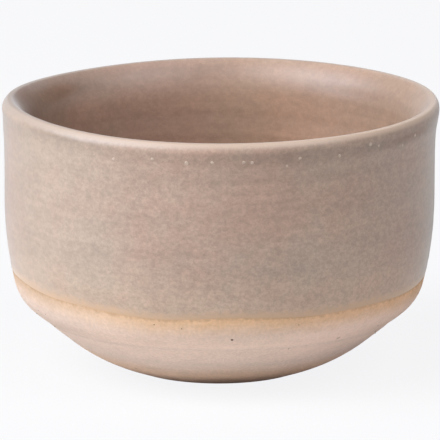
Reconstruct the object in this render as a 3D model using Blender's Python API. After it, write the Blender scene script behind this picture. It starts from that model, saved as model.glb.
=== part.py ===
"""Handleless espresso cup in stoneware.

A thrown and trimmed clay body, a liner glaze that covers the inside and laps over the lip, and an
outer glaze that stops above a bare clay heel. Metres, +Z up. The cup's axis is the Z axis, and its
foot stands on Z = 0. The cup measures 80.0 mm over the glazed lip and 49.7 mm to its top.
"""

import math

import bmesh
import bpy
from mathutils import Vector

# Outside of the clay, from the lip down
LIP_DIAMETER = 0.0789
LIP_HEIGHT = 0.0491
LIP_THICKNESS = 0.0011
WAIST_DIAMETER = 0.0778
FLARE_DEPTH = 0.0062
FLARE_RADIUS = 0.0800
BELLY_RISE = 0.0104
BELLY_RADIUS = 0.0660
HEEL_DIAMETER = 0.0738
HEEL_HEIGHT = 0.0135
HEEL_RADIUS = 0.0080
UNDERSIDE_DIAMETER = 0.0480
UNDERSIDE_HEIGHT = 0.0029
UNDERSIDE_RADIUS = 0.0320
FOOT_DIAMETER = 0.0320
FOOT_EDGE_RADIUS = 0.0020

# Inside of the clay, which keeps the wall's thickness from the outside
WALL_THICKNESS = 0.0028
FLOOR_THICKNESS = 0.0048
INNER_FLOOR_RADIUS = 0.0200
INNER_FLARE_DEPTH = 0.0090
INNER_FLARE_RADIUS = 0.0300

# Glaze coats
GLAZE_THICKNESS = 0.0003
GLAZE_GAP = 0.0003
LINER_OVERLAP = 0.0026
GLAZE_LINE_HEIGHT = 0.0178

# Facets
TURN_STEPS = 48
WELD_DISTANCE = 0.000002
ARC_STEP = math.radians(18)
LEAST_ARC_STEPS = 3
SHARP_ANGLE = math.radians(35)

# Colours as linear red, green and blue, with roughness
CLAY_FINISH = ((0.66, 0.50, 0.40), 0.80)
LINER_FINISH = ((0.46, 0.32, 0.25), 0.48)
OUTER_FINISH = ((0.46, 0.35, 0.29), 0.52)


class Corner:
    """One corner of a profile in the radius and height plane, with the fillet that rounds it."""

    def __init__(self, radius, height, fillet=0.0):
        self.place = Vector((radius, height))
        self.fillet = fillet


class Station:
    """A point of a finished profile, with the direction that points away from the clay."""

    def __init__(self, place, normal):
        self.place = place
        self.normal = normal

    def lifted(self, distance):
        return self.place + self.normal * distance


def left_of(direction):
    return Vector((-direction.y, direction.x))


def turned(direction, angle):
    cosine = math.cos(angle)
    sine = math.sin(angle)
    return Vector((direction.x * cosine - direction.y * sine, direction.x * sine + direction.y * cosine))


def crossing(start_a, along_a, start_b, along_b):
    """The point where two lines meet."""
    reach = (start_b - start_a).cross(along_b) / along_a.cross(along_b)
    return start_a + along_a * reach


def inset_corner(before, corner, after, distance):
    """The corner of the outline that lies a distance inside three outer corners, listed downwards."""
    upper = (corner.place - before.place).normalized()
    lower = (after.place - corner.place).normalized()
    upper_start = before.place - left_of(upper) * distance
    lower_start = after.place - left_of(lower) * distance
    meeting = crossing(upper_start, upper, lower_start, lower)
    return Corner(meeting.x, meeting.y, max(corner.fillet - distance, distance))


def rounded(corners):
    """Stations along a profile whose inner corners are rounded by arcs that meet the straights."""
    runs = [(b.place - a.place) for a, b in zip(corners, corners[1:])]
    headings = [run.normalized() for run in runs]
    turns = [math.atan2(a.cross(b), a.dot(b)) for a, b in zip(headings, headings[1:])]
    reaches = [0.0]
    for corner, turn in zip(corners[1:], turns):
        reaches.append(corner.fillet * math.tan(abs(turn) / 2))
    reaches.append(0.0)
    shares = [min(1.0, run.length / max(a + b, run.length)) for run, a, b in zip(runs, reaches, reaches[1:])]

    stations = [Station(corners[0].place, left_of(headings[0]))]
    for index, turn in enumerate(turns, start=1):
        share = min(shares[index - 1], shares[index])
        reach = reaches[index] * share
        arc_radius = math.copysign(corners[index].fillet * share, turn)
        first_normal = left_of(headings[index - 1])
        centre = corners[index].place - headings[index - 1] * reach + first_normal * arc_radius
        steps = max(LEAST_ARC_STEPS, math.ceil(abs(turn) / ARC_STEP))
        for step in range(steps + 1):
            normal = turned(first_normal, turn * step / steps)
            stations.append(Station(centre - normal * arc_radius, normal))
    stations.append(Station(corners[-1].place, left_of(headings[-1])))
    return stations


def outside_corners():
    """Corners of the clay's outside, from the lip down to the axis under the foot."""
    return [
        Corner(LIP_DIAMETER / 2, LIP_HEIGHT, LIP_THICKNESS / 2),
        Corner(WAIST_DIAMETER / 2, LIP_HEIGHT - FLARE_DEPTH, FLARE_RADIUS),
        Corner(WAIST_DIAMETER / 2, HEEL_HEIGHT + BELLY_RISE, BELLY_RADIUS),
        Corner(HEEL_DIAMETER / 2, HEEL_HEIGHT, HEEL_RADIUS),
        Corner(UNDERSIDE_DIAMETER / 2, UNDERSIDE_HEIGHT, UNDERSIDE_RADIUS),
        Corner(FOOT_DIAMETER / 2, 0.0, FOOT_EDGE_RADIUS),
        Corner(0.0, 0.0),
    ]


def inside_corners(outside):
    """Corners of the clay's inside, from the axis up to the lip: a flat floor between sloping walls."""
    _, flare, belly, heel, underside, foot, _ = outside
    inner_belly = inset_corner(flare, belly, heel, WALL_THICKNESS)
    inner_heel = inset_corner(belly, heel, underside, WALL_THICKNESS)
    inner_underside = inset_corner(heel, underside, foot, WALL_THICKNESS)
    if FLOOR_THICKNESS < inner_underside.place.y:
        rising = [inner_underside, inner_heel, inner_belly]
        slope = underside.place - foot.place
    else:
        rising = [inner_heel, inner_belly]
        slope = heel.place - underside.place
    floor_edge = crossing(Vector((0.0, FLOOR_THICKNESS)), Vector((1.0, 0.0)), rising[0].place, slope)
    return [
        Corner(0.0, FLOOR_THICKNESS),
        Corner(floor_edge.x, floor_edge.y, INNER_FLOOR_RADIUS),
        *rising,
        Corner(WAIST_DIAMETER / 2 - WALL_THICKNESS, LIP_HEIGHT - INNER_FLARE_DEPTH, INNER_FLARE_RADIUS),
        Corner(LIP_DIAMETER / 2 - LIP_THICKNESS, LIP_HEIGHT, LIP_THICKNESS / 2),
    ]


def split_outside(stations, height):
    """The stations above and below the point where the outside comes down through a height."""
    for index, (upper, lower) in enumerate(zip(stations, stations[1:]), start=1):
        if upper.place.y >= height > lower.place.y:
            share = (upper.place.y - height) / (upper.place.y - lower.place.y)
            normal = upper.normal.lerp(lower.normal, share).normalized()
            cut = Station(upper.place.lerp(lower.place, share), normal)
            return stations[:index] + [cut], [cut] + stations[index:]
    raise ValueError("the outside never comes down through that height")


def coat_profile(stations):
    """A closed outline round a coat of glaze: down its face and back along its clay side."""
    face = [station.lifted(GLAZE_GAP + GLAZE_THICKNESS) for station in stations]
    back = [station.lifted(GLAZE_GAP) for station in reversed(stations)]
    return face + back


def finish(name, colour, roughness):
    material = bpy.data.materials.new(name)
    material.use_nodes = True
    shader = material.node_tree.nodes["Principled BSDF"]
    shader.inputs["Base Color"].default_value = (*colour, 1.0)
    shader.inputs["Roughness"].default_value = roughness
    shader.inputs["Metallic"].default_value = 0.0
    return material


def turn_on_wheel(name, profile, closed, look):
    """A solid turned about Z from a profile, which is closed or else starts and ends on the axis."""
    shape = bmesh.new()
    points = [shape.verts.new((place.x, 0.0, place.y)) for place in profile]
    following = points[1:] + points[:1] if closed else points[1:]
    edges = [shape.edges.new(pair) for pair in zip(points, following)]
    bmesh.ops.spin(
        shape,
        geom=points + edges,
        axis=(0.0, 0.0, 1.0),
        cent=(0.0, 0.0, 0.0),
        angle=math.tau,
        steps=TURN_STEPS,
    )
    bmesh.ops.remove_doubles(shape, verts=shape.verts, dist=WELD_DISTANCE)
    bmesh.ops.recalc_face_normals(shape, faces=shape.faces)
    mesh = bpy.data.meshes.new(name)
    shape.to_mesh(mesh)
    shape.free()
    mesh.shade_smooth()
    mesh.set_sharp_from_angle(angle=SHARP_ANGLE)
    mesh.materials.append(finish(name, *look))
    piece = bpy.data.objects.new(name, mesh)
    bpy.context.scene.collection.objects.link(piece)
    return piece


def build_cup():
    outside = outside_corners()
    clay = rounded(inside_corners(outside) + outside)
    overlap_height = LIP_HEIGHT - LINER_OVERLAP
    liner, _ = split_outside(clay, overlap_height)
    _, below_liner = split_outside(clay, overlap_height - GLAZE_GAP)
    outer, _ = split_outside(below_liner, GLAZE_LINE_HEIGHT)

    turn_on_wheel("stoneware_body", [station.place for station in clay], False, CLAY_FINISH)
    turn_on_wheel("liner_glaze", coat_profile(liner), False, LINER_FINISH)
    turn_on_wheel("outer_glaze", coat_profile(outer), True, OUTER_FINISH)


for leftover in list(bpy.data.objects):
    bpy.data.objects.remove(leftover)
build_cup()
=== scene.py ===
"""Looks of a handleless stoneware espresso cup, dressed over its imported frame.

The clay body, the liner glaze and the outer glaze are drawn as profiles, spun on the wheel's axis and
then worked over by hand: throwing rings, a rim that is not quite level and wavy glaze edges.
Metres, +Z up, with the foot on Z = 0.
"""

import bisect
import math
import random

import bpy
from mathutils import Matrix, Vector


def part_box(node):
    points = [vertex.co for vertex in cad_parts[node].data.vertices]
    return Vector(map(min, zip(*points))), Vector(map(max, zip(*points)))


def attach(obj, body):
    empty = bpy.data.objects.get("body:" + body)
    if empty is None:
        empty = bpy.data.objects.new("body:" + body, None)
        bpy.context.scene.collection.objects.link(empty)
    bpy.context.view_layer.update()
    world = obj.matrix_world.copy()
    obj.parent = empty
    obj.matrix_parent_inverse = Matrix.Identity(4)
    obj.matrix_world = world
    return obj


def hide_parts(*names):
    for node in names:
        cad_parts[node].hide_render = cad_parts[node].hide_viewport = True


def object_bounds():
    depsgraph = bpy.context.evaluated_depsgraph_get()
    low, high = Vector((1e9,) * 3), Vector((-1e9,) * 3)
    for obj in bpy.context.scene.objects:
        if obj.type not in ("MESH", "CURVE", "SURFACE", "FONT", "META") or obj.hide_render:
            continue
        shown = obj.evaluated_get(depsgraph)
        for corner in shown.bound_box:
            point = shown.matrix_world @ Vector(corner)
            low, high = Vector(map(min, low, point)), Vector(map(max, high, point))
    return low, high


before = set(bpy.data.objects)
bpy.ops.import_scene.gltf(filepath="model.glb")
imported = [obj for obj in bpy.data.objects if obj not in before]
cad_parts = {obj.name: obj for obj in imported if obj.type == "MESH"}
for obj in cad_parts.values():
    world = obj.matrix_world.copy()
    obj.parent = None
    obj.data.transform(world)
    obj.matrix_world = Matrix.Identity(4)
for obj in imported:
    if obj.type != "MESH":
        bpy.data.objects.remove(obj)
cad_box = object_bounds()

MM = 0.001

# The finished cup as corners of radius, height and fillet, from the lip's crest down and in
CUP_TOP = cad_box[1].z
RIM_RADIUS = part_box("liner_glaze")[1].x
CREST_RADIUS = 38.62 * MM
LIP_SHOULDER = (39.15 * MM, CUP_TOP, 0.68 * MM)
LIP_CHEEK = (RIM_RADIUS + 0.06 * MM, 48.50 * MM, 2.2 * MM)
FLARE = (39.47 * MM, 42.90 * MM, 80.0 * MM)
BELLY = (39.47 * MM, 23.90 * MM, 66.0 * MM)
HEEL = (37.05 * MM, 13.49 * MM, 8.0 * MM)
UNDERSIDE = (24.00 * MM, 2.92 * MM, 32.0 * MM)
FOOT = (16.00 * MM, 0.0, 2.0 * MM)
LINER_SOLID = 0.3 * MM
FLOOR_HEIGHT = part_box("liner_glaze")[0].z + LINER_SOLID
FLOOR_EDGE = (21.00 * MM, FLOOR_HEIGHT, 14.0 * MM)
INNER_HEEL = (33.30 * MM, 15.20 * MM, 7.5 * MM)
INNER_BELLY = (34.85 * MM, 24.00 * MM, 62.0 * MM)
INNER_FLARE = (34.85 * MM, 36.00 * MM, 40.0 * MM)
BEVEL_FOOT = (35.07 * MM, 43.90 * MM, 8.0 * MM)
BEVEL_MIDDLE = (35.97 * MM, 47.51 * MM, 10.0 * MM)
BEVEL_HEAD = (38.16 * MM, CUP_TOP, 0.7 * MM)

# Where one side of the wall ends and the next begins
WALL_START = FOOT[0] * 0.9
SKIN_DEPTH = 0.6 * MM
UNDER_FOOT = 0.3 * MM
FLOOR_TOP = FLOOR_HEIGHT + 2 * MM

# Depths of the coats under that surface
CLAY_UNDER_GLAZE = -0.16 * MM
CLAY_BARE = -0.06 * MM
GLAZE_BACK = -0.14 * MM
GLAZE_FACE = -0.02 * MM
GLAZE_EDGE_FACE = CLAY_BARE + 0.015 * MM
TUCKED_FACE = -0.09 * MM
LINER_EDGE = -0.035 * MM
LINER_EDGE_BACK = -0.06 * MM
TUCK_HEIGHT = 48.2 * MM

# Glaze edges: mean height, then waves as count round the cup, height and place in degrees
GLAZE_LINE = 17.55 * MM
GLAZE_WAVES = ((1, 0.70 * MM, -170), (2, 0.55 * MM, -35), (5, 0.23 * MM, -55), (9, 0.18 * MM, -58))
BAND_LINE = 45.8 * MM
BAND_WAVES = ((2, 0.12 * MM, 20), (5, 0.10 * MM, 75), (11, 0.06 * MM, 10))

# Spans of height over which a coat changes, or the waves of its edge die away
COVER_START = GLAZE_LINE + 1.6 * MM
CLAY_COVERED = (COVER_START, COVER_START + 1.5 * MM)
FINE_CLAY_TOP = COVER_START + 2 * MM
LINER_START = CUP_TOP - 0.01 * MM
LINER_LAP = (BAND_LINE, TUCK_HEIGHT + 0.6 * MM)
GLAZE_TUCK = (BAND_LINE + 0.2 * MM, BAND_LINE + 1.4 * MM)
GLAZE_EDGE = (GLAZE_LINE, GLAZE_LINE + 0.5 * MM)
GLAZE_WAVES_END = (GLAZE_LINE + 0.8 * MM, GLAZE_LINE + 9 * MM)
BAND_WAVES_START = (BAND_LINE - 4 * MM, BAND_LINE - 0.3 * MM)
BAND_WAVES_END = (BAND_LINE + 0.3 * MM, TUCK_HEIGHT)

# The potter's hand on the outer wall: rings, their swelling and a groove. A second run of rings lies over
# the first, and its height and count are shares of the first's, with its start as an angle
RING_HEIGHT = 0.012 * MM
RING_PITCH = 2.9 * MM
RING_SWELL = 0.4
RING_SWELL_PITCH = 7.3 * MM
SECOND_RINGS = (0.5, 0.53, 1.7)
RINGS_START = (16 * MM, 21 * MM)
RINGS_END = (44 * MM, 48 * MM)
WALL_GROOVE_HEIGHT = 28.9 * MM
WALL_GROOVE_DEPTH = 0.030 * MM
WALL_GROOVE_WIDTH = 0.85 * MM
GROOVE_CLIMB = 0.7 * MM

# On the inside: rings of the wall and the floor
FINGER_RING_HEIGHT = 0.025 * MM
FINGER_RING_PITCH = 5.6 * MM
SECOND_FINGER_RINGS = (0.35, 2.3, 0.8)
FINGER_RINGS_START = (8 * MM, 16 * MM)
FINGER_RINGS_END = (41 * MM, 45 * MM)
FLOOR_RING_HEIGHT = 0.09 * MM
FLOOR_RING_PITCH = 4.2 * MM
FLOOR_RINGS_START = (1 * MM, 5 * MM)
FLOOR_RINGS_END = (14 * MM, 20 * MM)

# On the bare clay: rings and a groove of the trimming tool, and the hollowed foot
TRIM_RING_HEIGHT = 0.010 * MM
TRIM_RING_PITCH = 1.1 * MM
TRIM_START = (0.3 * MM, 2 * MM)
TRIM_END = (15 * MM, 18 * MM)
TRIM_STEP_HEIGHT = 10.5 * MM
TRIM_STEP_DEPTH = 0.13 * MM
TRIM_STEP_WIDTH = 0.65 * MM
TRIM_LINE_WIDTH = 0.30 * MM
FOOT_HOLLOW = 0.16 * MM
FOOT_HOLLOW_END = (10.5 * MM, 13.5 * MM)
FOOT_RING_DEPTH = 0.07 * MM
FOOT_RING_PITCH = 1.7 * MM
FOOT_RINGS_START = (0.5 * MM, 3 * MM)

# The cup's lean and the lip's waves and shift, which differs at its two ends and sets in by two shares
RIM_WAVES = (
    (0, 0.10 * MM, 0),
    (1, 0.05 * MM, -126),
    (2, 0.24 * MM, 41),
    (3, 0.15 * MM, -125),
    (4, 0.08 * MM, 29),
)
RIM_WAVES_START = (30 * MM, CUP_TOP)
RIM_SHIFT_LEFT = 0.25 * MM
RIM_SHIFT_RIGHT = 0.46 * MM
NECK_SHARE = 0.55
NECK_SHIFT = (43.5 * MM, 47.2 * MM)
LIP_SHARE = 0.45
LIP_SHIFT = (48 * MM, CUP_TOP)
INNER_SHIFT = (25 * MM, 46 * MM)
INNER_LIP_SHIFT = (46 * MM, CUP_TOP)
LEAN_AT_FOOT = -0.15 * MM
LEAN_END = (0.0, 40 * MM)

# The lip's pale crest, the change from inner to outer glaze over it, and the right front side, by which
# light and shade are painted
CREST_PALE_OUTSIDE = (0.2 * MM, 1.2 * MM)
CREST_PALE_INSIDE = (0.0, 0.8 * MM)
LIP_CHANGE = (-1.4 * MM, 0.4 * MM)
LIP_CHANGE_OUTSIDE = 0.4
LIP_CHANGE_INSIDE = -0.6
RIGHT_FRONT_AZIMUTH = math.radians(-30)

# Pinker and, below zero, greyer clouds in the glaze: azimuth, height, half width, half height, strength
FLUSHES = (
    (-101, 34 * MM, 11, 9 * MM, 0.22),
    (-100, 26 * MM, 7, 6 * MM, 0.16),
    (-89, 41 * MM, 6, 4 * MM, -0.18),
    (-73, 38 * MM, 13, 7 * MM, 0.34),
    (-55, 37 * MM, 14, 7 * MM, 0.38),
    (-36, 28 * MM, 11, 9 * MM, 0.30),
    (-38, 39 * MM, 9, 8 * MM, -0.20),
    (-33, 42 * MM, 13, 9 * MM, 0.30),
    (-122, 32 * MM, 10, 10 * MM, -0.12),
    (-137, 38 * MM, 9, 7 * MM, 0.10),
    (-130, 25 * MM, 18, 7 * MM, -0.45),
    (-140, 46 * MM, 20, 6 * MM, -0.45),
    (-66, 27 * MM, 16, 8 * MM, -0.50),
    (25, 27 * MM, 22, 8 * MM, -0.30),
    (60, 39 * MM, 20, 7 * MM, 0.30),
    (105, 28 * MM, 18, 9 * MM, 0.25),
    (140, 36 * MM, 20, 9 * MM, -0.30),
    (172, 26 * MM, 14, 8 * MM, 0.20),
)

# Darker and, below zero, paler clouds in the glaze, listed in the same way: partly smoke of the firing,
# partly painted shade and painted highlight
OUTER_SHADE_AND_SMOKE = (
    # Painted shade under the lip at the front and right, and over the highlight on the lip's left
    (-72, 47.0 * MM, 14, 1.8 * MM, 0.26),
    (-29, 47.1 * MM, 20, 1.3 * MM, 0.42),
    (-138, 48.35 * MM, 15, 0.55 * MM, 0.45),
    (-82, 36 * MM, 9, 6 * MM, 0.07),
    (-36, 39 * MM, 12, 5 * MM, 0.12),
    (-137, 38 * MM, 13, 12 * MM, -0.11),
    (-115, 25 * MM, 9, 4 * MM, -0.12),
    (-50, 25 * MM, 14, 6 * MM, -0.15),
    (30, 34 * MM, 18, 9 * MM, 0.12),
    (85, 24 * MM, 16, 7 * MM, -0.12),
    (130, 40 * MM, 16, 6 * MM, 0.12),
    (165, 30 * MM, 14, 8 * MM, -0.10),
)
INNER_SHADE_AND_SMOKE = (
    # Painted shade on the inside's left and round the inner bevel's highlight; below zero, painted
    # highlight
    (171, 46.5 * MM, 13, 4 * MM, 0.90),
    (150, 45 * MM, 10, 3.5 * MM, 0.25),
    (146, 47.2 * MM, 13, 1.5 * MM, 0.60),
    (136, 43.5 * MM, 10, 2.6 * MM, -0.40),
    (117, 43.1 * MM, 6, 1.6 * MM, -0.20),
    (102, 44 * MM, 14, 2.5 * MM, 0.06),
    (96, 41.5 * MM, 18, 2.5 * MM, -0.16),
    (95, 37.5 * MM, 22, 2.5 * MM, 0.08),
    (100, 47.8 * MM, 20, 1.3 * MM, 0.22),
    (46, 45.9 * MM, 19, 1.4 * MM, 0.30),
    (30, 43 * MM, 22, 5 * MM, 0.20),
    (-80, 38 * MM, 40, 8 * MM, 0.20),
)

# Blisters: azimuth and height of those at the front, with the range of their sizes
FRONT_BLISTERS = (
    (-118.5, 46.0 * MM),
    (-107.7, 46.7 * MM),
    (-98.7, 46.3 * MM),
    (-92.2, 46.5 * MM),
    (-84.1, 46.5 * MM),
    (-81.9, 46.4 * MM),
    (-72.7, 45.5 * MM),
    (-69.3, 46.7 * MM),
    (-57.9, 46.4 * MM),
    (-48.0, 47.6 * MM),
    (-44.9, 47.0 * MM),
)
FRONT_BLISTER_SIZES = (0.6, 1.1)

# More blisters in the band at the sides and back, with mean and spread of their heights, and fine ones all
# round. Heights here are in millimetres
BLISTER_SEED = 11
BAND_BLISTERS = 26
BAND_BLISTER_AZIMUTHS = (-38, 185)
BAND_BLISTER_HEIGHT = (46.4, 0.5)
BAND_BLISTER_SIZES = (0.35, 0.95)
FINE_BLISTERS = 16
FINE_BLISTER_AZIMUTHS = (-180, 180)
FINE_BLISTER_HEIGHTS = (40, 47)
FINE_BLISTER_SIZES = (0.25, 0.4)

# One blister, with rise and width of each step of its dome
BLISTER_RADIUS = 0.36 * MM
BLISTER_SIDES = 12
BLISTER_STEPS = ((0.05 * MM, 0.90), (0.03 * MM, 0.70), (0.012 * MM, 0.60), (-0.03 * MM, 0.50))
BLISTER_DEPTH = 0.05 * MM

# Iron specks: azimuth, height and size of those at the front, then more at the sides and back, with heights
# in millimetres
FRONT_SPECKS = (
    (-86.3, 13.2 * MM, 1.2),
    (-108.0, 15.9 * MM, 0.60),
    (-100.3, 15.4 * MM, 0.50),
    (-67.5, 10.1 * MM, 0.55),
    (-67.6, 15.6 * MM, 0.50),
)
SPECK_SEED = 5
BACK_SPECKS = 24
BACK_SPECK_AZIMUTHS = (-35, 215)
BACK_SPECK_HEIGHTS = (5, 15)
BACK_SPECK_SIZES = (0.3, 0.8)

# One speck
SPECK_RADIUS = 0.22 * MM
SPECK_DEPTH = 0.06 * MM
SPECK_SHAPE = (1.0, 0.8, 0.3)
SPECK_ROUGHNESS = 0.18
SPECK_ROUGHNESS_SEED = 3
SLOPE_REACH = 0.3 * MM

# Mesh density
SPECK_DIVISIONS = 2
TURNS = 256
FINE_STEP = 0.45 * MM
HIDDEN_STEP = 1.5 * MM
ARC_STEP = math.radians(5)
HIDDEN_ARC_STEP = 3 * ARC_STEP
WELD = 0.002 * MM
SHARP_ANGLE = math.radians(40)

# Camera
CAMERA_DISTANCE = 1200 * MM
CAMERA_ELEVATION = math.radians(12.743)
CAMERA_HUB = Vector((0.0, 0.0, 26.0 * MM))
CAMERA_AIM = Vector((0.07 * MM, 0.0, 27.05 * MM))
FRAME_WIDTH = 80.88 * MM
SENSOR_WIDTH = 36.0
CLIP_START = 0.05
CLIP_END = 40.0

# Floor and backdrop: what lights the cup, then what the camera and reflections see
FLOOR_SIZE = 12.0
FLOOR_COLOUR = (0.67, 0.655, 0.645, 1.0)
FLOOR_SHADOW_COLOUR = (0.07, 0.07, 0.07, 1.0)
FLOOR_GLOW_COLOUR = (1.0, 1.0, 1.015, 1.0)
FLOOR_GLOW = 0.875
BACKDROP_COLOUR = (0.97, 0.97, 1.0, 1.0)
BACKDROP_LIGHT = 0.02
BACKDROP_SHOWN = 0.965

# Softboxes: name, azimuth from the camera's side towards the right, elevation, power and colour
SOFTBOX_SIZE = 0.9
SOFTBOX_DISTANCE = 1.3
SOFTBOXES = (
    ("key_softbox", -48, 47, 13.7, (1.0, 1.0, 1.0)),
    ("side_softbox", -80, 31, 12.8, (0.92, 1.0, 1.08)),
    ("fill_softbox", 54, 50, 7.3, (1.0, 1.0, 1.0)),
)


def ease(value, low, high):
    """0 below low and 1 above high, with a smooth change between them."""
    share = min(1.0, max(0.0, (value - low) / (high - low)))
    return share * share * (3 - 2 * share)


def between(share, low, high):
    """Low for a share of 0 and high for a share of 1."""
    return low + (high - low) * share


def waves(angle, terms):
    """The sum of waves round the cup at an angle."""
    return sum(height * math.cos(count * angle - math.radians(place)) for count, height, place in terms)


# Profiles

def left_of(direction):
    return Vector((-direction.y, direction.x))


def turned(direction, angle):
    cosine = math.cos(angle)
    sine = math.sin(angle)
    return Vector((direction.x * cosine - direction.y * sine, direction.x * sine + direction.y * cosine))


def walk(corners, step):
    """Pairs of point and outward normal along corners whose fillets are arcs, at most a step apart."""
    places = [Vector(corner[:2]) for corner in corners]
    headings = [(b - a).normalized() for a, b in zip(places, places[1:])]
    stations = [(places[0], left_of(headings[0]))]

    def straight_to(place, normal):
        start = stations[-1][0]
        count = max(1, math.ceil((place - start).length / step))
        for index in range(1, count + 1):
            stations.append((start.lerp(place, index / count), normal))

    for index in range(1, len(places) - 1):
        heading = headings[index - 1]
        turn = math.atan2(heading.cross(headings[index]), heading.dot(headings[index]))
        radius = math.copysign(corners[index][2], turn)
        normal = left_of(heading)
        start = places[index] - heading * corners[index][2] * math.tan(abs(turn) / 2)
        centre = start + normal * radius
        straight_to(start, normal)
        count = math.ceil(max(abs(turn) / ARC_STEP, abs(radius * turn) / step))
        for part in range(1, count + 1):
            bent = turned(normal, turn * part / count)
            stations.append((centre - bent * radius, bent))
    straight_to(places[-1], left_of(headings[-1]))
    return stations


INNER_WALL = [INNER_HEEL, INNER_BELLY, INNER_FLARE, BEVEL_FOOT, BEVEL_MIDDLE, BEVEL_HEAD]
INSIDE = [(0.0, FLOOR_HEIGHT), FLOOR_EDGE] + INNER_WALL
OUTSIDE = [LIP_SHOULDER, LIP_CHEEK, FLARE, BELLY, HEEL, UNDERSIDE, FOOT, (0.0, 0.0)]
SURFACE = walk(INSIDE + OUTSIDE, FINE_STEP)
CREST = max(range(len(SURFACE)), key=lambda index: SURFACE[index][0].y)
OUTER_WALL = [place for place, _ in reversed(SURFACE[CREST:]) if place.x > WALL_START]
OUTER_HEIGHTS = [place.y for place in OUTER_WALL]


def outer_radius(height):
    """Radius of the outside surface at a height."""
    index = min(max(bisect.bisect_left(OUTER_HEIGHTS, height), 1), len(OUTER_WALL) - 1)
    low = OUTER_WALL[index - 1]
    high = OUTER_WALL[index]
    return between((height - low.y) / max(high.y - low.y, WELD), low.x, high.x)


def is_outside(radius, height):
    """Whether a point belongs to the outer side of the wall, which starts at the lip's crest."""
    if height > TUCK_HEIGHT:
        return radius > CREST_RADIUS
    return radius > outer_radius(height) - SKIN_DEPTH


def outside_between(top, bottom):
    """Stations down the outside between two heights."""
    inner = [(place, normal) for place, normal in SURFACE[CREST:] if bottom < place.y < top]
    first = (Vector((outer_radius(top), top)), inner[0][1])
    last = (Vector((outer_radius(bottom), bottom)), inner[-1][1])
    return [first] + inner + [last]


def thinned(stations):
    """The first and last stations and enough of the others for a side that is never seen."""
    kept = [stations[0]]
    for station in stations[1:-1]:
        bend = station[1].angle(kept[-1][1])
        if (station[0] - kept[-1][0]).length > HIDDEN_STEP or bend > HIDDEN_ARC_STEP:
            kept.append(station)
    return kept + [stations[-1]]


def lifted(stations, lift):
    """Points off the surface by a lift that depends on the place."""
    return [place + normal * lift(place) for place, normal in stations]


# Throwing on the wheel

def spin_profile(name, points, closed):
    """A closed solid spun about Z from a profile, drawn by extruding one point along it."""
    bpy.ops.object.select_all(action="DESELECT")
    bpy.ops.mesh.primitive_plane_add(size=MM, location=(0.0, 0.0, 0.0))
    piece = bpy.context.object
    piece.name = name
    piece.data.name = name
    bpy.ops.object.mode_set(mode="EDIT")
    bpy.ops.mesh.select_all(action="SELECT")
    bpy.ops.mesh.merge(type="CENTER")
    bpy.ops.transform.translate(value=(points[0].x, 0.0, points[0].y))
    path = points + points[:1] if closed else points
    for start, end in zip(path, path[1:]):
        step = (end.x - start.x, 0.0, end.y - start.y)
        bpy.ops.mesh.extrude_vertices_move(TRANSFORM_OT_translate={"value": step})
    bpy.ops.mesh.select_all(action="SELECT")
    bpy.ops.mesh.remove_doubles(threshold=WELD)
    bpy.ops.mesh.spin(steps=TURNS, angle=math.tau, center=(0.0, 0.0, 0.0), axis=(0.0, 0.0, 1.0))
    bpy.ops.mesh.select_all(action="SELECT")
    bpy.ops.mesh.remove_doubles(threshold=WELD)
    bpy.ops.mesh.normals_make_consistent(inside=False)
    bpy.ops.object.mode_set(mode="OBJECT")
    bpy.ops.object.shade_smooth_by_angle(angle=SHARP_ANGLE)
    return piece


def glaze_line(angle):
    return GLAZE_LINE + waves(angle, GLAZE_WAVES)


def band_line(angle):
    return BAND_LINE + waves(angle, BAND_WAVES)


def groove(angle, height, centre, width):
    """1 in the middle of a groove that climbs a little as it goes round, and 0 away from it."""
    climbed = centre - GROOVE_CLIMB * math.sin(angle / 2 + math.pi / 4) * math.cos(angle)
    return math.exp(-(((height - climbed) / width) ** 2))


def double_rings(climb, second):
    """Rings along a climb, with a second, weaker run of rings laid over them."""
    height, count, start = second
    return math.sin(climb) + height * math.sin(climb * count + start)


def throwing_rings(angle, height):
    """How far the rings left by the fingers stand out of the outer wall."""
    climb = height / RING_PITCH * math.tau + angle
    swell = 1 - RING_SWELL + RING_SWELL * math.sin(height / RING_SWELL_PITCH + 2 * angle)
    rings = RING_HEIGHT * swell * double_rings(climb, SECOND_RINGS)
    rings -= WALL_GROOVE_DEPTH * groove(angle, height, WALL_GROOVE_HEIGHT, WALL_GROOVE_WIDTH)
    return rings * ease(height, *RINGS_START) * (1 - ease(height, *RINGS_END))


def trimming_rings(angle, height):
    """How far the marks of the trimming tool stand out of the bare clay."""
    bare = (1 - ease(height, *TRIM_END)) * ease(height, *TRIM_START)
    marks = TRIM_RING_HEIGHT * math.sin(height / TRIM_RING_PITCH * math.tau + angle)
    step = TRIM_STEP_DEPTH * groove(angle, height, TRIM_STEP_HEIGHT, TRIM_STEP_WIDTH)
    return bare * (marks - step)


def finger_rings(angle, height):
    """How far the rings inside stand out of the inner wall."""
    climb = height / FINGER_RING_PITCH * math.tau - angle
    share = ease(height, *FINGER_RINGS_START) * (1 - ease(height, *FINGER_RINGS_END))
    return FINGER_RING_HEIGHT * double_rings(climb, SECOND_FINGER_RINGS) * share


def floor_rings(angle, radius):
    """How far the spiral that the fingers left in the floor inside stands up."""
    middle = ease(radius, *FLOOR_RINGS_START) * (1 - ease(radius, *FLOOR_RINGS_END))
    return FLOOR_RING_HEIGHT * middle * (math.sin(radius / FLOOR_RING_PITCH * math.tau - angle) - 1)


def foot_rings(angle, radius):
    """How far the trimmed foot is hollowed under the cup."""
    tooled = 0.5 - 0.5 * math.cos(radius / FOOT_RING_PITCH * math.tau + angle)
    hollow = FOOT_HOLLOW + FOOT_RING_DEPTH * tooled * ease(radius, *FOOT_RINGS_START)
    return hollow * (1 - ease(radius, *FOOT_HOLLOW_END))


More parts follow.
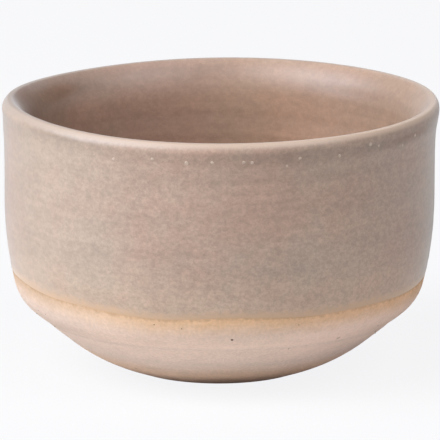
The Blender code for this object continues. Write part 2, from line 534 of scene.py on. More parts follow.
def made_by_hand(radius, angle, height, outside):
    """Where a point of a true round cup lies on this one, whose lip sits off the axis and waves."""
    shift = between(0.5 + 0.5 * math.cos(angle), RIM_SHIFT_LEFT, RIM_SHIFT_RIGHT)
    if outside:
        shift *= NECK_SHARE * ease(height, *NECK_SHIFT) + LIP_SHARE * ease(height, *LIP_SHIFT)
    else:
        shift = between(ease(height, *INNER_LIP_SHIFT), RIM_SHIFT_RIGHT, shift)
        shift *= ease(height, *INNER_SHIFT)
    lean = LEAN_AT_FOOT * (1 - ease(height, *LEAN_END))
    lift = waves(angle, RIM_WAVES) * ease(height, *RIM_WAVES_START)
    across = radius * math.cos(angle) + shift + lean
    return Vector((across, radius * math.sin(angle), height + lift))


def work_over(piece, slide):
    """Slides points along the outer wall, adds the rings and the potter's hand to them all.

    It gives the radius, angle and height of each point as they were before the hand.
    """
    places = []
    for vertex in piece.data.vertices:
        angle = math.atan2(vertex.co.y, vertex.co.x)
        radius = math.hypot(vertex.co.x, vertex.co.y)
        height = vertex.co.z
        outside = is_outside(radius, height)
        if outside:
            depth = radius - outer_radius(height)
            height = height + slide(angle, height)
            radius = outer_radius(height) + depth + throwing_rings(angle, height)
            radius += trimming_rings(angle, height)
        elif height < UNDER_FOOT:
            height += foot_rings(angle, radius)
        elif radius < FLOOR_EDGE[0] and height < FLOOR_TOP:
            height += floor_rings(angle, radius)
        else:
            radius -= finger_rings(angle, height)
        places.append((radius, angle, height))
        vertex.co = made_by_hand(radius, angle, height, outside)
    return places


# What the finishes need to know about each point

def note(piece, places, *measures):
    """Keeps measures of each point's radius, angle and height as attributes of the mesh."""
    for measure in measures:
        values = piece.data.attributes.new(measure.__name__, "FLOAT", "POINT")
        for place, value in zip(places, values.data):
            value.value = measure(*place)


def above_glaze_line(radius, angle, height):
    return height - glaze_line(angle)


def above_band_line(radius, angle, height):
    return height - band_line(angle)


def trim_line(radius, angle, height):
    """1 in the bottom of the groove that the trimming tool cut round the clay."""
    return groove(angle, height, TRIM_STEP_HEIGHT, TRIM_LINE_WIDTH)


def over_the_lip(radius, angle, height):
    """0 on the inner wall and 1 on the outer wall, with the change on the lip."""
    slope = LIP_CHANGE_OUTSIDE if radius > CREST_RADIUS else LIP_CHANGE_INSIDE
    return ease(radius - CREST_RADIUS + (CUP_TOP - height) * slope, *LIP_CHANGE)


def near_the_crest(radius, angle, height):
    """1 on the lip's crest, fading to 0 further down its outer and inner side."""
    if radius > CREST_RADIUS:
        return 1 - ease(CUP_TOP - height, *CREST_PALE_OUTSIDE)
    return 1 - ease(CREST_RADIUS - radius, *CREST_PALE_INSIDE)


def right_front_side(radius, angle, height):
    """1 on the right front of the cup, 0 on its left back; finishes use it to vary the grain and to paint
    light and shade by side.
    """
    return 0.5 + 0.5 * math.cos(angle - RIGHT_FRONT_AZIMUTH)


def cloudiness(clouds, angle, height):
    """The strength of a list of soft clouds at a place."""
    total = 0.0
    for azimuth, level, width, rise, strength in clouds:
        turn = math.remainder(math.degrees(angle) - azimuth, 360)
        total += strength * math.exp(-((turn / width) ** 2) - ((height - level) / rise) ** 2)
    return total


def flush(radius, angle, height):
    """How much pinker or greyer than usual the glaze fired at a place."""
    return cloudiness(FLUSHES, angle, height)


def shade_and_smoke(radius, angle, height):
    """How much darker or paler the glaze is made at a place: partly smoke of the firing, partly painted
    shade and painted highlight.
    """
    return cloudiness(OUTER_SHADE_AND_SMOKE if is_outside(radius, height) else INNER_SHADE_AND_SMOKE, angle, height)


# The clay and its two glazes

def throw_clay():
    """The fired clay: floor, wall, lip, trimmed heel and foot."""
    def lift(place):
        if not is_outside(place.x, place.y):
            return CLAY_UNDER_GLAZE
        return between(ease(place.y, *CLAY_COVERED), CLAY_BARE, CLAY_UNDER_GLAZE)

    bare = CREST + 1
    while SURFACE[bare][0].y >= FINE_CLAY_TOP:
        bare += 1
    stations = thinned(SURFACE[:bare]) + SURFACE[bare:]
    piece = spin_profile("clay_body", lifted(stations, lift), False)
    places = work_over(piece, lambda angle, height: 0.0)
    note(piece, places, above_glaze_line, trim_line, right_front_side)
    return piece


def pour_liner():
    """The glaze inside, over the lip and down to a wavy edge under it."""
    stations = SURFACE[:CREST] + outside_between(LINER_START, BAND_LINE)

    def covering(place):
        """0 where the coat lies on the outer glaze, 1 where it lies on the clay."""
        return ease(place.y, *LINER_LAP) if is_outside(place.x, place.y) else 1.0

    def face(place):
        return between(covering(place), LINER_EDGE, 0.0)

    def back(place):
        return between(covering(place), LINER_EDGE_BACK, GLAZE_BACK)

    def slide(angle, height):
        return waves(angle, BAND_WAVES) * (1 - ease(height, *BAND_WAVES_END))

    profile = lifted(stations, face) + lifted(thinned(stations[::-1]), back)
    piece = spin_profile("liner_coat", profile, False)
    places = work_over(piece, slide)
    note(piece, places, above_band_line, over_the_lip, near_the_crest, right_front_side, flush, shade_and_smoke)
    return piece


def dip_outside():
    """The glaze outside, from under the liner's edge down to the wavy glaze line."""
    stations = outside_between(TUCK_HEIGHT, GLAZE_LINE)

    def face(place):
        thin_edge = 1 - ease(place.y, *GLAZE_EDGE)
        open_face = between(thin_edge, GLAZE_FACE, GLAZE_EDGE_FACE)
        return between(ease(place.y, *GLAZE_TUCK), open_face, TUCKED_FACE)

    def back(place):
        return GLAZE_BACK

    def slide(angle, height):
        low = waves(angle, GLAZE_WAVES) * (1 - ease(height, *GLAZE_WAVES_END))
        high = waves(angle, BAND_WAVES) * ease(height, *BAND_WAVES_START)
        return low + high * (1 - ease(height, *BAND_WAVES_END))

    profile = lifted(stations, face) + lifted(thinned(stations[::-1]), back)
    piece = spin_profile("outer_coat", profile, True)
    places = work_over(piece, slide)
    note(piece, places, above_glaze_line, above_band_line, right_front_side, flush, shade_and_smoke)
    return piece


# Blisters in the glaze and iron specks in the clay

def stand_on_wall(azimuth, height, depth):
    """The place and the outward turn of something small that stands on the outside."""
    angle = math.radians(azimuth)
    radius = outer_radius(height) + throwing_rings(angle, height) + trimming_rings(angle, height) - depth
    widening = outer_radius(height + SLOPE_REACH) - outer_radius(height - SLOPE_REACH)
    normal = Vector((math.cos(angle), math.sin(angle), -widening / (2 * SLOPE_REACH)))
    return made_by_hand(radius, angle, height, True), normal.to_track_quat("Z", "Y")


def scatter(model, name, marks, depth):
    """Copies of a small model at marks of azimuth, height and size, joined into one piece."""
    copies = []
    for azimuth, height, size in marks:
        bpy.ops.object.select_all(action="DESELECT")
        model.select_set(True)
        bpy.context.view_layer.objects.active = model
        bpy.ops.object.duplicate()
        copy = bpy.context.object
        place, turn = stand_on_wall(azimuth, height, depth)
        copy.rotation_mode = "QUATERNION"
        copy.location = place
        copy.rotation_quaternion = turn
        copy.scale = (size, size, size)
        copies.append(copy)
    bpy.data.objects.remove(model)
    bpy.ops.object.select_all(action="DESELECT")
    for copy in copies:
        copy.select_set(True)
    bpy.context.view_layer.objects.active = copies[0]
    bpy.ops.object.transform_apply(location=True, rotation=True, scale=True)
    bpy.ops.object.join()
    piece = bpy.context.object
    piece.rotation_mode = "XYZ"
    piece.name = name
    piece.data.name = name
    return piece


def model_blister():
    """A low round blister that broke in the fire: a dome with a dimple in its top."""
    bpy.ops.object.select_all(action="DESELECT")
    bpy.ops.mesh.primitive_circle_add(
        vertices=BLISTER_SIDES,
        radius=BLISTER_RADIUS,
        fill_type="NGON",
        location=(0.0, 0.0, 0.0),
    )
    bpy.ops.object.mode_set(mode="EDIT")
    bpy.ops.mesh.select_all(action="SELECT")
    for rise, width in BLISTER_STEPS:
        bpy.ops.mesh.extrude_region_move(TRANSFORM_OT_translate={"value": (0.0, 0.0, rise)})
        bpy.ops.transform.resize(value=(width, width, 1.0))
    bpy.ops.mesh.select_all(action="SELECT")
    bpy.ops.mesh.normals_make_consistent(inside=False)
    bpy.ops.object.mode_set(mode="OBJECT")
    bpy.ops.object.shade_smooth()
    return bpy.context.object


def model_speck():
    """A crumb of iron, flat and uneven."""
    bpy.ops.object.select_all(action="DESELECT")
    bpy.ops.mesh.primitive_ico_sphere_add(
        subdivisions=SPECK_DIVISIONS,
        radius=SPECK_RADIUS,
        location=(0.0, 0.0, 0.0),
    )
    bpy.ops.object.mode_set(mode="EDIT")
    bpy.ops.mesh.select_all(action="SELECT")
    bpy.ops.transform.vertex_random(offset=SPECK_ROUGHNESS * SPECK_RADIUS, seed=SPECK_ROUGHNESS_SEED)
    bpy.ops.transform.resize(value=SPECK_SHAPE)
    bpy.ops.mesh.normals_make_consistent(inside=False)
    bpy.ops.object.mode_set(mode="OBJECT")
    bpy.ops.object.shade_smooth()
    return bpy.context.object


def blister_glaze():
    """The blisters in the band under the lip: those at the front, then more all round."""
    draw = random.Random(BLISTER_SEED)
    marks = [(azimuth, height, draw.uniform(*FRONT_BLISTER_SIZES)) for azimuth, height in FRONT_BLISTERS]
    for _ in range(BAND_BLISTERS):
        azimuth = draw.uniform(*BAND_BLISTER_AZIMUTHS)
        height = draw.gauss(*BAND_BLISTER_HEIGHT) * MM
        marks.append((azimuth, height, draw.uniform(*BAND_BLISTER_SIZES)))
    for _ in range(FINE_BLISTERS):
        azimuth = draw.uniform(*FINE_BLISTER_AZIMUTHS)
        height = draw.uniform(*FINE_BLISTER_HEIGHTS) * MM
        marks.append((azimuth, height, draw.uniform(*FINE_BLISTER_SIZES)))
    return scatter(model_blister(), "glaze_blisters", marks, BLISTER_DEPTH)


def speck_clay():
    """The iron specks in the bare clay: those at the front, then smaller ones at the sides and back."""
    draw = random.Random(SPECK_SEED)
    marks = list(FRONT_SPECKS)
    for _ in range(BACK_SPECKS):
        azimuth = draw.uniform(*BACK_SPECK_AZIMUTHS)
        height = draw.uniform(*BACK_SPECK_HEIGHTS) * MM
        marks.append((azimuth, height, draw.uniform(*BACK_SPECK_SIZES)))
    return scatter(model_speck(), "iron_specks", marks, SPECK_DEPTH)


# Finishes

def paint(red, green, blue):
    """A colour picked from 0 to 255 on a screen, as the linear value that a shader takes."""
    def linear(value):
        share = value / 255
        return share / 12.92 if share <= 0.04045 else ((share + 0.055) / 1.055) ** 2.4
    return (linear(red), linear(green), linear(blue), 1.0)


def tint(red, green, blue):
    """What a colour is multiplied by to make it paler, darker, warmer or cooler."""
    return (red, green, blue, 1.0)


# Colours and tints of the outer glaze
PINK_TAUPE = paint(176, 147, 131)
GREY_TAUPE = paint(174, 154, 139)
TOASTED_GLAZE = paint(205, 172, 142)
PALER_NEAR_GLAZE_LINE = tint(1.17, 1.18, 1.14)
OVERLAP_AND_LIP_SHADE = tint(0.91, 0.90, 0.89)
SHADE_AND_SMOKE_TINT = tint(1.04, 0.93, 0.80)
PORE = tint(0.62, 0.60, 0.58)
COOL_SHEEN = tint(0.88, 0.94, 1.0)
COOL_GLOSS = tint(0.80, 0.90, 1.0)

# Of the liner glaze
PINK_BROWN = paint(168, 136, 117)
GREY_BROWN = paint(163, 137, 119)
# The lip's crest: painted shade on the left back; the glaze's pale break with a painted highlight on the
# right front
CREST_PAINTED_SHADE_LEFT_BACK = paint(163, 145, 133)
CREST_BREAK_AND_HIGHLIGHT_RIGHT_FRONT = paint(197, 172, 153)
LINER_LEFT_BACK_TINT = tint(1.0, 1.01, 1.06)
LINER_RIGHT_FRONT_TINT = tint(0.985, 0.965, 0.93)
LINER_PAINTED_GLARE = tint(1.12, 1.16, 1.22)

# Of the bare clay
UPPER_CLAY = paint(240, 214, 197)
LOWER_CLAY = paint(223, 203, 191)
TOAST_LEFT_BACK = paint(216, 183, 154)
TOAST_RIGHT_FRONT = paint(226, 187, 150)
TOASTED_EDGE = paint(205, 169, 137)
IRON_STAIN = paint(128, 98, 78)
FOOT_WARM_PAINTED_SHADE = tint(1.09, 0.975, 0.83)
FOOT_PAINTED_SHADOW = tint(0.76, 0.70, 0.72)
CLAY_PAINTED_LIGHT = tint(1.07, 1.05, 1.07)
CLAY_PAINTED_SHADE = tint(0.86, 0.87, 0.89)
DARKER_IN_TRIM_GROOVE = tint(0.87, 0.88, 0.90)

# Of the blisters and the iron specks
DARK_BLISTER = paint(182, 160, 145)
PALE_BLISTER = paint(202, 181, 165)
DARK_SPECK = paint(58, 40, 32)
PALE_SPECK = paint(98, 70, 54)

# Spans of height above the glaze line
PALER_NEAR_GLAZE_LINE_SPAN = (0.5 * MM, 12 * MM)
TOASTED_GLAZE_SPAN = (0.0, 1.9 * MM)
TOASTED_EDGE_SPAN = (-0.7 * MM, 0.0)
TOAST_SPAN = (-4.4 * MM, -0.2 * MM)
CLAY_PAINTED_SHADE_SPAN = (-9 * MM, -5 * MM)
LOWER_CLAY_SPAN = (-14 * MM, -4 * MM)
FOOT_WARM_PAINTED_SHADE_SPAN = (-14.5 * MM, -10.5 * MM)
FOOT_PAINTED_SHADOW_SPAN = (-16.5 * MM, -13.8 * MM)

# Spans of height above the liner's edge
OVERLAP_AND_LIP_SHADE_SPAN = (-1.0 * MM, 0.2 * MM)
UNDER_LIP_SPAN = (-3 * MM, 0.0)

# Spans from the left back side, 0, to the right front side, 1
GRAINY_SIDE = (0.2, 0.7)
OVERLAP_AND_LIP_SHADE_SIDE = (0.3, 0.7)
LINER_TINT_SIDE = (0.08, 0.4)
LINER_PAINTED_GLARE_SIDE = (0.80, 0.93)
TOAST_SIDE = (0.4, 0.75)
CLAY_PAINTED_LIGHT_SIDE = (0.85, 0.97)
CLAY_PAINTED_SHADE_SIDE = (0.25, 0.5)

# How far the edges of the finishes wander, with scale, detail and roughness of the noise that moves them
EDGE_NOISE = (700, 3.0, 0.6)
EDGE_DRIFT = 0.35 * MM
TOAST_NOISE = (520, 3.0, 0.6)
TOASTED_EDGE_NOISE = (900, 3.0, 0.6)
TOAST_DRIFT = 0.3 * MM
OVERLAP_SCALE = 500
OVERLAP_DRIFT = 0.8 * MM

# Marks in the glaze. Scales are marks to the metre, and streaks have them across and up, detail and depth
CLOUD_SCALE = 38
CLOUD_RANGE = (0.25, 0.75, 0.15, 0.85)
BLOT_SCALE = 330
BLOT_DEPTH = 0.10
GLAZE_STREAKS = (
    (12, 260, 2.0, 0.03),
    (30, 900, 2.0, 0.025),
    (140, 240, 2.0, 0.025),
    (560, 800, 1.0, 0.045),
)
FINE_STREAKS = (1300, 1700, 1.0, 0.07)
GRAIN_SCALE = 3400
GRAIN_DEPTH = 0.06
WALL_GRAIN = (0.55, 1.0)
LINER_GRAIN = 0.6
OVERLAP_AND_LIP_SHADE_STRENGTH = (0.2, 1.0)
SHADE_AND_SMOKE_LEVELS = (-1.0, 1.0, 1.4, 0.6)
SHADE_AND_SMOKE_TINT_RANGE = (0.15, 0.75)
CREST_PALE_RANGE = (0.2, 0.8, 0.9, 1.1)

# Marks in the clay, listed in the same way
SMEARS = (22, 620, 3.0, 0.035)
CLAY_MOTTLE = (330, 620, 2.0)
CLAY_MOTTLE_DEPTH = 0.025
SAND = (1900, 2.0, 0.6)
SAND_DEPTH = 0.055
TRIM_GROOVE_DARKENING_RANGE = (0.3, 1.0)

# The middle of a noise's range, where most of it lies
NOISE_MIDDLE = (0.3, 0.7)

# Round marks: scale of their net, share of its cells that have one, and size in a cell
PORES = (1100, 0.10, 0.30)
PORE_STRENGTH = 0.25
IRON_SPOTS = (330, 0.03, 0.22)
IRON_SPOT_STRENGTH = 0.5
SOFT_EDGE = 0.6

# Scales of the grain on the blisters and the iron specks
BLISTER_GRAIN_SCALE = 5200
SPECK_GRAIN_SCALE = 6000

# Gloss: roughness of the glaze, what wear and smoke add to it, and roughness of the rest
GLAZE_ROUGHNESS = (0.39, 0.47)
WORN_ROUGHNESS = 0.06
DRY_RANGE = (0.2, 0.7)
DRY_ROUGHNESS = 0.30
CLAY_ROUGHNESS = 0.82
IRON_ROUGHNESS = (0.5, 0.7)


class Finish:
    """A material under construction."""

    def __init__(self, name):
        self.material = bpy.data.materials.new(name)
        self.material.use_nodes = True
        self.tree = self.material.node_tree
        self.shader = self.tree.nodes["Principled BSDF"]
        self.place = self.node("ShaderNodeTexCoord").outputs["Object"]

    def node(self, kind, **settings):
        made = self.tree.nodes.new(kind)
        for key, value in settings.items():
            setattr(made, key, value)
        return made

    def join(self, source, socket):
        """Links a socket to a source, or sets it to a plain value."""
        if isinstance(source, bpy.types.NodeSocket):
            self.tree.links.new(source, socket)
        else:
            socket.default_value = source

    def set(self, socket, source):
        self.join(source, self.shader.inputs[socket])

    def attribute(self, measure):
        return self.node("ShaderNodeAttribute", attribute_name=measure.__name__).outputs["Fac"]

    def noise(self, scale, detail=2.0, roughness=0.5, place=None):
        made = self.node("ShaderNodeTexNoise")
        self.join(place or self.place, made.inputs["Vector"])
        self.join(scale, made.inputs["Scale"])
        self.join(detail, made.inputs["Detail"])
        self.join(roughness, made.inputs["Roughness"])
        return made.outputs["Fac"]

    def streaks(self, across, up, detail):
        """Noise with one scale across the cup and another up it."""
        mapping = self.node("ShaderNodeMapping")
        self.join(self.place, mapping.inputs["Vector"])
        self.join((across, across, up), mapping.inputs["Scale"])
        return self.noise(1.0, detail, place=mapping.outputs["Vector"])

    def specks(self, scale, share, size):
        """1 inside round specks, one in a share of the cells of a net, and 0 elsewhere."""
        net = self.node("ShaderNodeTexVoronoi")
        self.join(self.place, net.inputs["Vector"])
        self.join(scale, net.inputs["Scale"])
        chosen = self.node("ShaderNodeSeparateColor")
        self.join(net.outputs["Color"], chosen.inputs[0])
        picked = self.sum(chosen.outputs["Red"], share, "LESS_THAN")
        return self.product(picked, self.fall(net.outputs["Distance"], size * SOFT_EDGE, size))

    def remap(self, value, low, high, new_low, new_high):
        made = self.node("ShaderNodeMapRange", interpolation_type="SMOOTHSTEP")
        self.join(value, made.inputs["Value"])
        self.join(low, made.inputs["From Min"])
        self.join(high, made.inputs["From Max"])
        self.join(new_low, made.inputs["To Min"])
        self.join(new_high, made.inputs["To Max"])
        return made.outputs["Result"]

    def rise(self, value, low, high):
        return self.remap(value, low, high, 0.0, 1.0)

    def fall(self, value, low, high):
        return self.remap(value, low, high, 1.0, 0.0)

    def spread(self, noise, low, high):
        """The middle of a noise's range, where most of it lies, spread between two values."""
        return self.remap(noise, *NOISE_MIDDLE, low, high)

    def drifting(self, height, noise, drift):
        """A height that wanders up and down with a noise of a scale, detail and roughness."""
        return self.sum(height, self.spread(self.noise(*noise), -drift, drift))

    def sum(self, first, second, kind="ADD"):
        made = self.node("ShaderNodeMath", operation=kind)
        self.join(first, made.inputs[0])
        self.join(second, made.inputs[1])
        return made.outputs[0]

    def product(self, first, second):
        return self.sum(first, second, "MULTIPLY")

    def blend(self, share, first, second, kind="MIX"):
        """Two colours mixed; a Mix node keeps its colour sockets after those of the other types."""
        made = self.node("ShaderNodeMix", data_type="RGBA", blend_type=kind)
        self.join(share, made.inputs["Factor"])
        self.join(first, made.inputs[6])
        self.join(second, made.inputs[7])
        return made.outputs[2]

    def shade(self, colour, value):
        """A colour times a tint or a grey value."""
        return self.blend(1.0, colour, value, "MULTIPLY")

    def stain(self, share, colour, stain):
        """A colour that takes a tint where the share is 1."""
        return self.blend(share, colour, self.shade(colour, stain))

    def tone(self, colour, noise, depth):
        """A colour made paler and darker by a noise."""
        return self.shade(colour, self.spread(noise, 1 - depth, 1 + depth))

    def streaked(self, colour, across, up, detail, depth):
        """A colour made paler and darker by streaks."""
        return self.tone(colour, self.streaks(across, up, detail), depth)

    def bump(self, height, strength, distance):
        made = self.node("ShaderNodeBump")
        self.join(height, made.inputs["Height"])
        self.join(strength, made.inputs["Strength"])
        self.join(distance, made.inputs["Distance"])
        self.set("Normal", made.outputs["Normal"])


def glaze_mottle(finish, pink, grey, flushing, grain_share):
    """The cloudy, banded and grainy colour that both glazes share, and its grain."""
    clouds = finish.sum(finish.remap(finish.noise(CLOUD_SCALE), *CLOUD_RANGE), flushing)
    blots = finish.spread(finish.noise(BLOT_SCALE), -BLOT_DEPTH, BLOT_DEPTH)
    colour = finish.blend(finish.rise(finish.sum(clouds, blots), 0.0, 1.0), grey, pink)
    for streaks in GLAZE_STREAKS:
        colour = finish.streaked(colour, *streaks)
    # Painted shade and painted highlight, with some smoke of the firing, darken and pale the glaze; its
    # darkest clouds turn browner
    shade_and_smoke_level = finish.attribute(shade_and_smoke)
    colour = finish.shade(colour, finish.remap(shade_and_smoke_level, *SHADE_AND_SMOKE_LEVELS))
    colour = finish.stain(finish.rise(shade_and_smoke_level, *SHADE_AND_SMOKE_TINT_RANGE), colour, SHADE_AND_SMOKE_TINT)
    grain = finish.noise(GRAIN_SCALE, detail=1.0)
    grainy = finish.tone(finish.streaked(colour, *FINE_STREAKS), grain, GRAIN_DEPTH)
    pores = finish.product(finish.specks(*PORES), PORE_STRENGTH)
    grainy = finish.stain(pores, grainy, PORE)
    return finish.blend(grain_share, colour, grainy), grain


def wall_colour(finish):
    """The colour of the outer wall, with the darker band under the lip: partly where the two glazes
    overlap, partly painted shade under the flared lip.
    """
    right_front = finish.attribute(right_front_side)
    grain_share = finish.remap(right_front, *GRAINY_SIDE, *WALL_GRAIN)
    colour, grain = glaze_mottle(finish, PINK_TAUPE, GREY_TAUPE, finish.attribute(flush), grain_share)
    drift = finish.product(finish.noise(OVERLAP_SCALE), OVERLAP_DRIFT)
    height = finish.sum(finish.attribute(above_band_line), drift, "SUBTRACT")
    strength = finish.remap(right_front, *OVERLAP_AND_LIP_SHADE_SIDE, *OVERLAP_AND_LIP_SHADE_STRENGTH)
    # The band under the lip is partly the glazes' overlap and partly painted shade, painted stronger on the
    # right front
    band = finish.product(finish.rise(height, *OVERLAP_AND_LIP_SHADE_SPAN), strength)
    return finish.stain(band, colour, OVERLAP_AND_LIP_SHADE), grain


def satin(finish, colour, grain, wear=0.0):
    """Sets the soft gloss of a glaze with its colour, duller where it is worn."""
    finish.set("Base Color", colour)
    finish.set("Roughness", finish.sum(finish.spread(grain, *GLAZE_ROUGHNESS), wear))
    finish.set("Sheen Weight", 0.6)
    finish.set("Sheen Roughness", 0.3)
    finish.set("Sheen Tint", COOL_SHEEN)
    finish.set("Specular IOR Level", 0.56)
    finish.set("Specular Tint", COOL_GLOSS)
    finish.bump(grain, strength=0.05, distance=0.05 * MM)
    return finish.material


def outer_glaze_finish():
    """Taupe glaze, paler towards its lower edge and toasted along it."""
    finish = Finish("satin_taupe_glaze")
    colour, grain = wall_colour(finish)
    height = finish.attribute(above_glaze_line)
    colour = finish.stain(finish.fall(height, *PALER_NEAR_GLAZE_LINE_SPAN), colour, PALER_NEAR_GLAZE_LINE)
    ragged = finish.drifting(height, EDGE_NOISE, EDGE_DRIFT)
    colour = finish.blend(finish.fall(ragged, *TOASTED_GLAZE_SPAN), colour, TOASTED_GLAZE)
    return satin(finish, colour, grain)


def liner_glaze_finish():
    """Browner glaze inside, the outer wall's colour past the lip, and a pale crest on the lip: partly the
    glaze breaking thin, partly painted highlight and painted shade.
    """
    finish = Finish("satin_liner_glaze")
    right_front = finish.attribute(right_front_side)
    inside, _ = glaze_mottle(finish, PINK_BROWN, GREY_BROWN, 0.0, LINER_GRAIN)
    cool = finish.shade(inside, LINER_LEFT_BACK_TINT)
    warm = finish.shade(inside, LINER_RIGHT_FRONT_TINT)
    inside = finish.blend(finish.rise(right_front, *LINER_TINT_SIDE), cool, warm)
    # Painted glare: the inside just under the lip is painted paler and bluer on the right front
    under_lip = finish.rise(finish.attribute(above_band_line), *UNDER_LIP_SPAN)
    painted_glare = finish.product(under_lip, finish.rise(right_front, *LINER_PAINTED_GLARE_SIDE))
    inside = finish.stain(painted_glare, inside, LINER_PAINTED_GLARE)

    outside, grain = wall_colour(finish)
    colour = finish.blend(finish.attribute(over_the_lip), inside, outside)
    # The crest is painted paler, partly the glaze breaking thin and partly a painted highlight, and painted
    # darker on the left back as painted shade
    pale_crest = finish.product(finish.attribute(near_the_crest), finish.remap(grain, *CREST_PALE_RANGE))
    crest = finish.blend(right_front, CREST_PAINTED_SHADE_LEFT_BACK, CREST_BREAK_AND_HIGHLIGHT_RIGHT_FRONT)
    colour = finish.blend(pale_crest, colour, crest)
    dry = finish.remap(finish.attribute(shade_and_smoke), *DRY_RANGE, 0.0, DRY_ROUGHNESS)
    return satin(finish, colour, grain, finish.sum(finish.product(pale_crest, WORN_ROUGHNESS), dry))


def clay_finish():
    """Sandy clay, with painted warm shade and a painted shadow towards the foot, painted light and shade by
    side, and toasted under the glaze.
    """
    finish = Finish("bare_sandy_stoneware")
    height = finish.attribute(above_glaze_line)
    right_front = finish.attribute(right_front_side)
    # Paler towards the top and darker towards the foot: partly the glaze's flashing near its edge, partly
    # painted light and shade
    colour = finish.blend(finish.fall(height, *LOWER_CLAY_SPAN), UPPER_CLAY, LOWER_CLAY)
    # Painted shade towards the foot: a warm browner tint, then a darker painted shadow where the cup meets
    # the floor
    colour = finish.stain(finish.fall(height, *FOOT_WARM_PAINTED_SHADE_SPAN), colour, FOOT_WARM_PAINTED_SHADE)
    colour = finish.stain(finish.fall(height, *FOOT_PAINTED_SHADOW_SPAN), colour, FOOT_PAINTED_SHADOW)

    warmth = finish.rise(right_front, *TOAST_SIDE)
    toast = finish.blend(warmth, TOAST_LEFT_BACK, TOAST_RIGHT_FRONT)
    ragged = finish.drifting(height, TOAST_NOISE, TOAST_DRIFT)
    colour = finish.blend(finish.rise(ragged, *TOAST_SPAN), colour, toast)
    edge = finish.drifting(height, TOASTED_EDGE_NOISE, TOAST_DRIFT)
    colour = finish.blend(finish.rise(edge, *TOASTED_EDGE_SPAN), colour, TOASTED_EDGE)

    # Painted light: the clay is painted paler on the right front side
    colour = finish.stain(finish.rise(right_front, *CLAY_PAINTED_LIGHT_SIDE), colour, CLAY_PAINTED_LIGHT)
    # Painted shade: the clay's upper part is painted darker on the left back side, where the lamps light it
    # most
    clay_painted_shade = finish.product(finish.fall(right_front, *CLAY_PAINTED_SHADE_SIDE), finish.rise(height, *CLAY_PAINTED_SHADE_SPAN))
    colour = finish.stain(clay_painted_shade, colour, CLAY_PAINTED_SHADE)

    mottle = finish.streaks(*CLAY_MOTTLE)
    sand = finish.noise(*SAND)
    colour = finish.streaked(colour, *SMEARS)
    colour = finish.tone(colour, mottle, CLAY_MOTTLE_DEPTH)
    colour = finish.tone(colour, sand, SAND_DEPTH)
    iron = finish.product(finish.specks(*IRON_SPOTS), IRON_SPOT_STRENGTH)
    colour = finish.blend(iron, colour, IRON_STAIN)
    # Darker along the groove that the trimming tool cut
    trim_groove_darkening = finish.product(finish.attribute(trim_line), finish.spread(mottle, *TRIM_GROOVE_DARKENING_RANGE))
    colour = finish.stain(trim_groove_darkening, colour, DARKER_IN_TRIM_GROOVE)

    finish.set("Base Color", colour)
    finish.set("Roughness", CLAY_ROUGHNESS)
    finish.set("Specular IOR Level", 0.2)
    finish.bump(sand, strength=0.25, distance=0.08 * MM)
    return finish.material


def blister_finish():
    """The paler glaze round a blister that broke."""
    finish = Finish("pale_broken_glaze")
    grain = finish.noise(BLISTER_GRAIN_SCALE)
    colour = finish.blend(finish.spread(grain, 0.0, 1.0), DARK_BLISTER, PALE_BLISTER)
    return satin(finish, colour, grain)


def speck_finish():
    """Iron that burnt dark in the fire."""
    finish = Finish("burnt_iron")
    grain = finish.noise(SPECK_GRAIN_SCALE)
    colour = finish.blend(finish.spread(grain, 0.0, 1.0), DARK_SPECK, PALE_SPECK)
    finish.set("Base Color", colour)
    finish.set("Roughness", finish.spread(grain, *IRON_ROUGHNESS))
    finish.bump(grain, strength=0.3, distance=0.02 * MM)
    return finish.material


def dress(piece, material, node=None):
    """Gives a piece its material and ties it to the frame, in place of a node if it stands for one."""
    piece.data.materials.append(material)
    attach(piece, "root")
    if node:
        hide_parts(node)


# Stage

def seen_directly(tree):
    """1 on camera, glossy and transmission rays, which show the backdrop as it is, and 0 on the rest."""
    paths = tree.nodes.new("ShaderNodeLightPath")
    total = paths.outputs["Is Camera Ray"]
    for kind in ("Is Glossy Ray", "Is Transmission Ray"):
        adder = tree.nodes.new("ShaderNodeMath")
        adder.operation = "MAXIMUM"
        tree.links.new(total, adder.inputs[0])
        tree.links.new(paths.outputs[kind], adder.inputs[1])
        total = adder.outputs[0]
    return total


def lay_floor():
    """A pale floor that shows almost white, with a faint shadow, and throws soft light up at the cup."""
    bpy.ops.object.select_all(action="DESELECT")
    bpy.ops.mesh.primitive_plane_add(size=FLOOR_SIZE, location=(0.0, 0.0, 0.0))
    floor = bpy.context.object
    floor.name = "floor"
    material = bpy.data.materials.new("pale_floor")
    material.use_nodes = True
    tree = material.node_tree
    tree.nodes.remove(tree.nodes["Principled BSDF"])
    matte = tree.nodes.new("ShaderNodeBsdfDiffuse")
    matte.inputs["Color"].default_value = FLOOR_COLOUR
    shadow = tree.nodes.new("ShaderNodeBsdfDiffuse")
    shadow.inputs["Color"].default_value = FLOOR_SHADOW_COLOUR
    glow = tree.nodes.new("ShaderNodeEmission")
    glow.inputs["Color"].default_value = FLOOR_GLOW_COLOUR
    glow.inputs["Strength"].default_value = FLOOR_GLOW
    shown = tree.nodes.new("ShaderNodeAddShader")
    tree.links.new(shadow.outputs[0], shown.inputs[0])
    tree.links.new(glow.outputs[0], shown.inputs[1])
    choice = tree.nodes.new("ShaderNodeMixShader")
    tree.links.new(seen_directly(tree), choice.inputs[0])
    tree.links.new(matte.outputs[0], choice.inputs[1])
    tree.links.new(shown.outputs[0], choice.inputs[2])
    tree.links.new(choice.outputs[0], tree.nodes["Material Output"].inputs["Surface"])
    floor.data.materials.append(material)


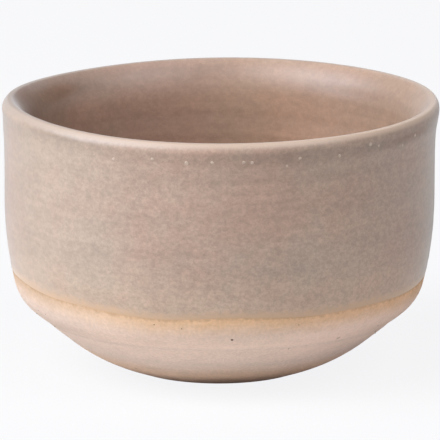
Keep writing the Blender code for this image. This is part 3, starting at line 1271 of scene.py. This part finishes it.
def light_world():
    """A backdrop that shows almost white and gives hardly any light."""
    world = bpy.data.worlds.new("studio")
    bpy.context.scene.world = world
    world.use_nodes = True
    tree = world.node_tree
    back = tree.nodes["Background"]
    back.inputs["Color"].default_value = BACKDROP_COLOUR
    level = tree.nodes.new("ShaderNodeMapRange")
    level.inputs["To Min"].default_value = BACKDROP_LIGHT
    level.inputs["To Max"].default_value = BACKDROP_SHOWN
    tree.links.new(seen_directly(tree), level.inputs["Value"])
    tree.links.new(level.outputs["Result"], back.inputs["Strength"])


def hang_softbox(name, azimuth, elevation, power, colour):
    """A round soft lamp that looks at the cup."""
    angle = math.radians(azimuth)
    rise = math.radians(elevation)
    away = Vector((math.sin(angle) * math.cos(rise), -math.cos(angle) * math.cos(rise), math.sin(rise)))
    lamp = bpy.data.lights.new(name, "AREA")
    lamp.shape = "DISK"
    lamp.size = SOFTBOX_SIZE
    lamp.energy = power
    lamp.color = colour
    holder = bpy.data.objects.new(name, lamp)
    bpy.context.scene.collection.objects.link(holder)
    holder.location = CAMERA_HUB + away * SOFTBOX_DISTANCE
    holder.rotation_euler = (-away).to_track_quat("-Z", "Y").to_euler()


def set_camera():
    camera = bpy.data.cameras.new("camera")
    holder = bpy.data.objects.new("camera", camera)
    bpy.context.scene.collection.objects.link(holder)
    back = Vector((0.0, -math.cos(CAMERA_ELEVATION), math.sin(CAMERA_ELEVATION)))
    holder.location = CAMERA_HUB + back * CAMERA_DISTANCE
    holder.rotation_euler = (CAMERA_AIM - holder.location).to_track_quat("-Z", "Y").to_euler()
    camera.sensor_width = SENSOR_WIDTH
    camera.lens = SENSOR_WIDTH * CAMERA_DISTANCE / FRAME_WIDTH
    camera.clip_start = CLIP_START
    camera.clip_end = CLIP_END
    bpy.context.scene.camera = holder


dress(throw_clay(), clay_finish(), "stoneware_body")
dress(pour_liner(), liner_glaze_finish(), "liner_glaze")
dress(dip_outside(), outer_glaze_finish(), "outer_glaze")
dress(blister_glaze(), blister_finish())
dress(speck_clay(), speck_finish())

lay_floor()
light_world()
for softbox in SOFTBOXES:
    hang_softbox(*softbox)
set_camera()
bpy.context.scene.view_settings.view_transform = "Standard"
